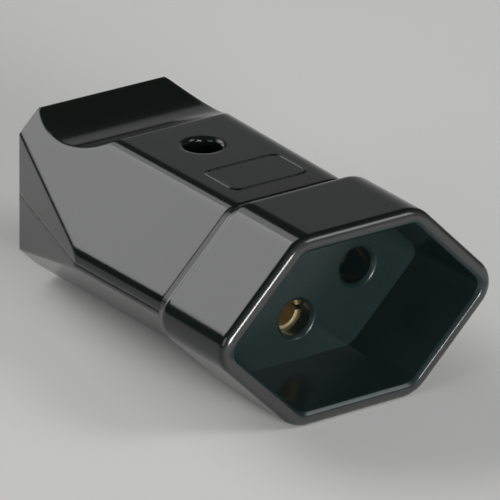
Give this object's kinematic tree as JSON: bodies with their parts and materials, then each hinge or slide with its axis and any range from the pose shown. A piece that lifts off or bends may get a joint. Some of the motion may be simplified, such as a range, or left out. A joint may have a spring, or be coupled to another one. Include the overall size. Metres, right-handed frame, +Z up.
{
  "type": "inline power socket",
  "caption": "Rewireable inline power socket: a hexagonal recessed mouth with round pin holes, a faceted split grip with a thumb scoop, and a cord inlet at the rear.",
  "frame": {"origin": "centre of the bounding box on the plane that the collar rests on", "axes": "+Y from the mouth towards the cord inlet, +X to the right when facing the mouth, +Z up, with the screw hole on top"},
  "size_m": [0.0418, 0.0582, 0.026],
  "materials": {
    "black_plastic": "moulded, glossy black",
    "clamp_plastic": "moulded, matt dark grey",
    "brass": "turned, bare",
    "steel": "zinc plated"
  },
  "bodies": {
    "root": {"socket_body": "black_plastic", "upper_shell": "black_plastic", "lower_shell": "black_plastic", "shell_screw": "steel", "shell_nut": "steel", "line_contact_left": "brass", "line_contact_right": "brass", "earth_contact": "brass", "line_spring_left": "steel", "line_spring_right": "steel", "earth_spring": "steel", "terminal_screw_left": "steel", "terminal_screw_right": "steel", "terminal_screw_earth": "steel", "cord_clamp_bar": "clamp_plastic", "clamp_screw_left": "steel", "clamp_screw_right": "steel"}
  },
  "joints": []
}
